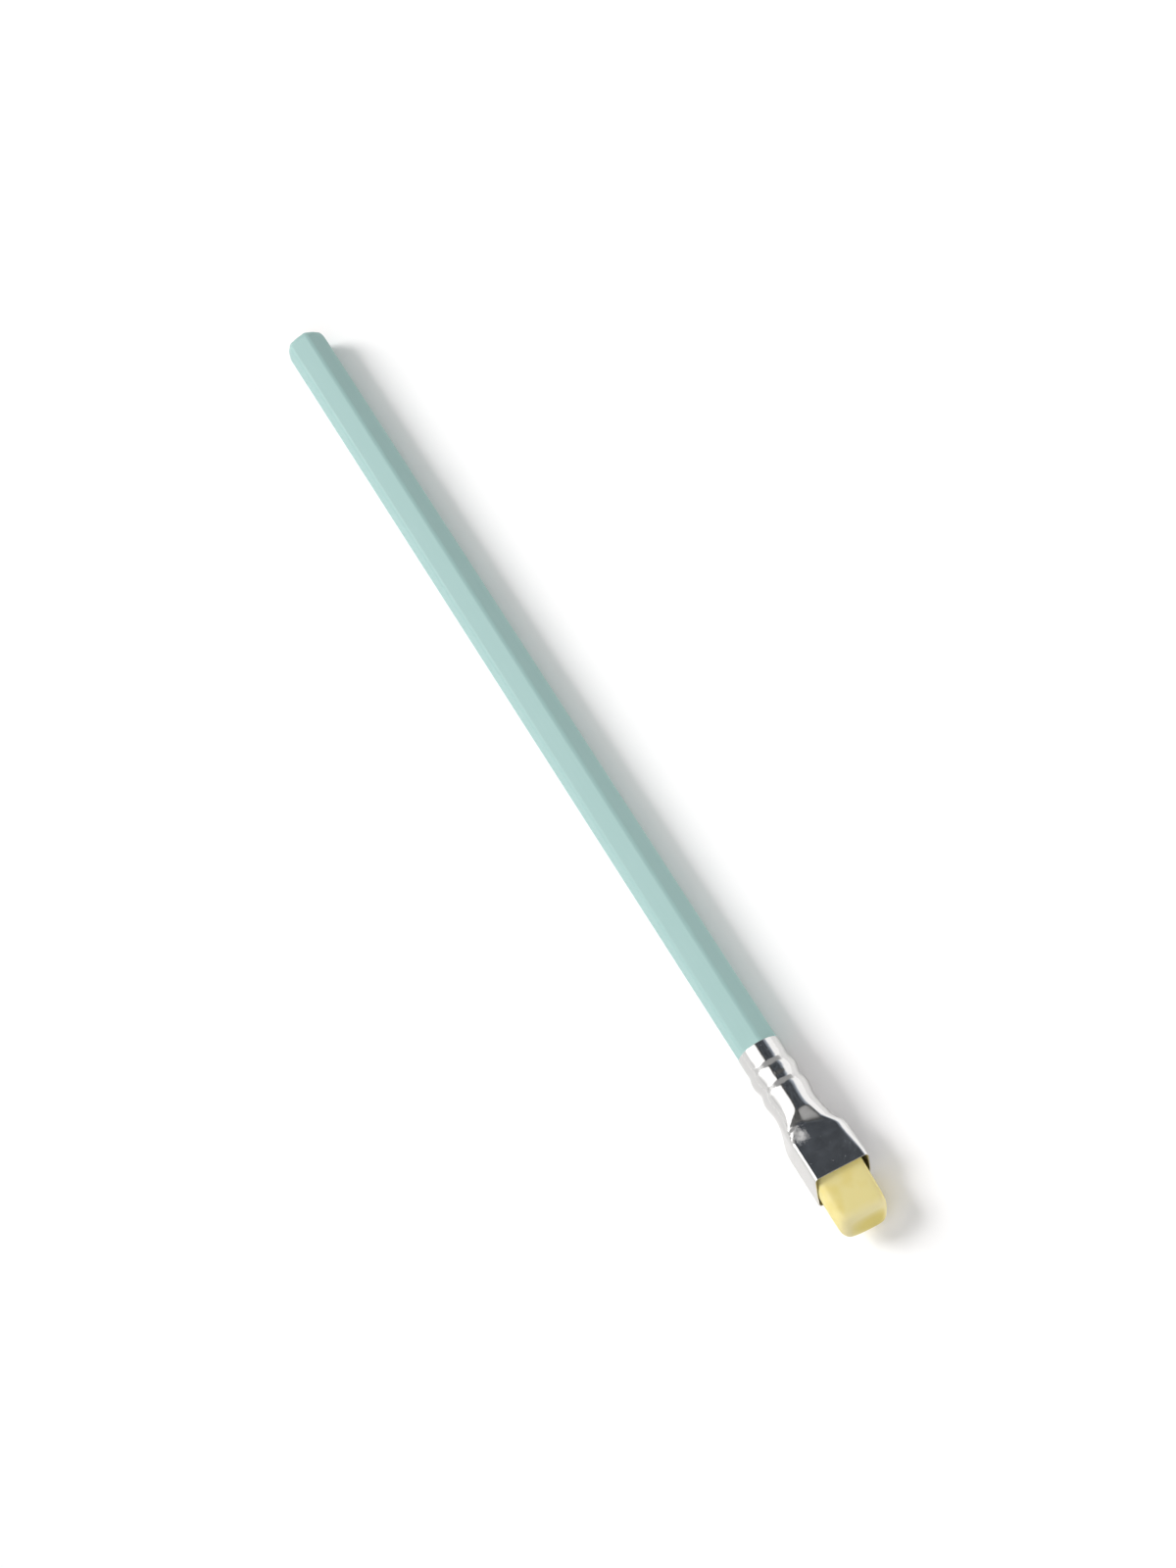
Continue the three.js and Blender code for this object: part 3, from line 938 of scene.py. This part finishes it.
# %% [markdown]
# The pencil touches the table with its bead and with the rim of its writing end, half a millimetre higher
# in the frame, so the table is tilted by that hair. Its paper is a near-white with a trace of red, which
# takes back the green that the barrel throws into its own shadow. Further out the paper glows more, so that
# the camera sees a white ground up to the edges.

# %% The table
TABLE_SIZE = 8
FLOOR_GLOW = 0.07
glow_rises = (0.2, 1.5)
bead_x = ferrule_start + last_bead
writing_end_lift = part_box("slat_lower")[0].z
bpy.ops.mesh.primitive_plane_add(size=TABLE_SIZE, location=(bead_x, 0, 0))
floor = bpy.context.object
floor.name = "floor"
floor.rotation_euler.y = math.atan(writing_end_lift / (bead_x - core_low.x))
paper, tree, shader, place = start_material("paper_white_matte")
shader.inputs["Base Color"].default_value = linear("#fcfbfb")
shader.inputs["Roughness"].default_value = 0.9
shader.inputs["Specular IOR Level"].default_value = 0.0
shader.inputs["Emission Color"].default_value = linear("#ffffff")
from_pencil = add(tree, "VectorMath", {0: place}, operation="LENGTH").outputs["Value"]
whiter = add(tree, "MapRange", {
    "Value": from_pencil, "From Min": glow_rises[0], "From Max": glow_rises[1],
    "To Min": FLOOR_GLOW, "To Max": 1.0}).outputs["Result"]
glow = add(tree, "Math", {0: shows_itself(tree), 1: whiter}, operation="MULTIPLY").outputs[0]
tree.links.new(glow, shader.inputs["Emission Strength"])
dress(floor, paper)

# %% [markdown]
# Three lamps light the pencil. The key lamp, on the left and towards the writing end, gives the largest
# share of the light and throws the shadow: its size against its distance sets how soft the shadow's edge
# is. A softbox as large as a bed hangs above. A low lamp on the right fills the sides that the others leave
# dark. It throws no shadow of its own, and neither it nor the softbox shows in the metal.

# %% Key lamp, softbox and fill lamp
def facing(place, way, sideways):
    """The matrix that puts something at a place, its Z axis along a way and its Y axis sideways."""
    turned = Matrix((sideways.cross(way), sideways, way)).transposed()
    return Matrix.Translation(place) @ turned.to_4x4()


def hang_lamp(name, way, distance, size, energy):
    """An area lamp that shines on the pencil from a direction. Its size is given along X and across it."""
    way = Vector(way).normalized()
    bpy.ops.object.light_add(type="AREA")
    lamp = bpy.context.object
    lamp.name = name
    lamp.data.shape = "RECTANGLE"
    lamp.data.size, lamp.data.size_y = size
    lamp.data.energy = energy
    lamp.matrix_world = facing(way * distance, way, way.cross(Vector((1, 0, 0))).normalized())
    print(name, "at", [round(v, 2) for v in lamp.location], "m")
    return lamp


hang_lamp("key_lamp", (-0.58, -0.67, 0.63), 3.6, (1.44, 1.44), 113)
softbox = hang_lamp("softbox", (0.4, -0.44, 0.90), 2.5, (3.0, 2.3), 22)
fill_lamp = hang_lamp("fill_lamp", (0.5, 0.8, 0.3), 0.75, (1.0, 0.35), 3.4)
softbox.visible_glossy = False
fill_lamp.visible_glossy = False
fill_lamp.data.use_shadow = False

# %% [markdown]
# Polished metal looks like metal only if it has something to mirror, dark beside light. Photographers hang
# cards round it for that. Only reflections see these cards, so they take no light from the pencil. Each is
# a plane that covers a part of the sky over the ferrule, and of two cards in one direction the nearer one
# shows.

# %% A card for the metal to mirror
CARD_DISTANCE = 0.6
over_bead = Vector((bead_x, axis_start.y, axis_start.z))


def hang_card(name, lift, turn, glow, tint="#ffffff", uneven=0.0, nearer=0.0, fade_from=0.3, soft_end=0.0):
    """A glowing card between two lifts, leaned towards +X, and two turns to the right, in degrees.

    Its glow has the first value, and past fade_from of the half width it goes to the second value at the
    second turn. A soft_end takes the glow to the second value at the first lift too, and uneven adds clouds.
    """
    distance = CARD_DISTANCE - nearer
    lean, swing = math.radians(sum(lift) / 2), math.radians(sum(turn) / 2)
    half_long = distance * math.tan(math.radians(lift[1] - lift[0]) / 2)
    half_wide = distance * math.tan(math.radians(turn[1] - turn[0]) / 2)
    way = Vector((math.sin(lean), math.cos(lean) * math.sin(swing), math.cos(lean) * math.cos(swing)))
    sideways = Vector((0, math.cos(swing), -math.sin(swing)))
    bpy.ops.mesh.primitive_plane_add(size=2)
    card = bpy.context.object
    card.name = name
    card.matrix_world = (
        facing(over_bead + way * distance, way, sideways) @ Matrix.Diagonal((half_long, half_wide, 1, 1)))
    felt, tree, shader, place = start_material(name + "_felt")
    shader.inputs["Base Color"].default_value = linear("#000000")
    shader.inputs["Roughness"].default_value = 1.0
    shader.inputs["Specular IOR Level"].default_value = 0.0
    shader.inputs["Emission Color"].default_value = linear(tint)
    on_card = add(tree, "SeparateXYZ", {"Vector": place}).outputs
    fade = add(tree, "MapRange", {
        "Value": on_card["Y"], "From Min": fade_from, "From Max": 1.0, "To Min": glow[0], "To Max": glow[1]},
        interpolation_type="SMOOTHSTEP").outputs["Result"]
    if soft_end:
        fade = add(tree, "MapRange", {
            "Value": on_card["X"], "From Min": -1.0, "From Max": soft_end - 1,
            "To Min": glow[1], "To Max": fade}, interpolation_type="SMOOTHSTEP").outputs["Result"]
    clouds = add(tree, "TexNoise", {"Vector": place, "Scale": 5.0, "Detail": 2.0}).outputs["Fac"]
    haze = add(tree, "MapRange", {
        "Value": clouds, "From Min": 0.4, "From Max": 0.7, "To Max": uneven}).outputs["Result"]
    total = add(tree, "Math", {0: fade, 1: haze}, operation="ADD").outputs[0]
    tree.links.new(total, shader.inputs["Emission Strength"])
    card.visible_camera = False
    card.visible_diffuse = False
    card.visible_shadow = False
    card.visible_transmission = False
    dress(card, felt)


# %% Hang the cards
# The bright left and right sides of the tube
hang_card("white_card", (-57, 33), (-2, -68), (1.6, 0.72), nearer=0.02)
hang_card("right_card", (-50, 40), (55, 105), (1.3, 1.3))
# Grey for the slopes that lean back, towards the writing end
hang_card("back_left_card", (-80, -40), (0, -75), (0.42, 0.9))
hang_card("back_right_card", (-80, -40), (0, 85), (0.42, 0.9), nearer=0.005)
# The ramp, which leans forwards, and views from behind
hang_card("front_card", (5, 60), (57, 6), (0.5, 0.06), nearer=0.54, fade_from=0.33, soft_end=0.7)
hang_card("far_card", (38, 88), (-60, 60), (0.3, 0.5))
# The dark stripe along the tube and the dark broad face
hang_card("black_strip", (-65, 45), (-2, 6), (0.06, 0.06), nearer=0.01)
hang_card("black_card", (-43, 18), (5, 57), (0.05, 0.6), tint="#e4efff", uneven=0.14, nearer=0.02)

# %% [markdown]
# ## The camera
#
# The camera looks down the pencil from the eraser's end, close enough for the barrel to taper, and is
# rolled so that the pencil runs across the frame from the upper left to the lower right.

# %% Camera
camera_data = bpy.data.cameras.new("camera")
camera_data.sensor_width = 36
camera_data.lens = 80.0
camera_data.clip_start = 0.01
camera_data.clip_end = 50
camera = bpy.data.objects.new("camera", camera_data)
bpy.context.collection.objects.link(camera)
bpy.context.scene.camera = camera

look_at = Vector((6.71, 0.065, 4.3)) * MM
view_distance = 612.41 * MM
view_azimuth = math.radians(89.832)
view_elevation = math.radians(66.523)
view_roll = math.radians(32.55)
back = Vector((
    math.sin(view_azimuth) * math.cos(view_elevation),
    -math.cos(view_azimuth) * math.cos(view_elevation),
    math.sin(view_elevation)))
camera.location = look_at + back * view_distance
camera.rotation_mode = "QUATERNION"
camera.rotation_quaternion = (-back).to_track_quat("-Z", "Y") @ Quaternion((0, 0, 1), -view_roll)
print("camera at", [round(v / MM) for v in camera.location], "mm")
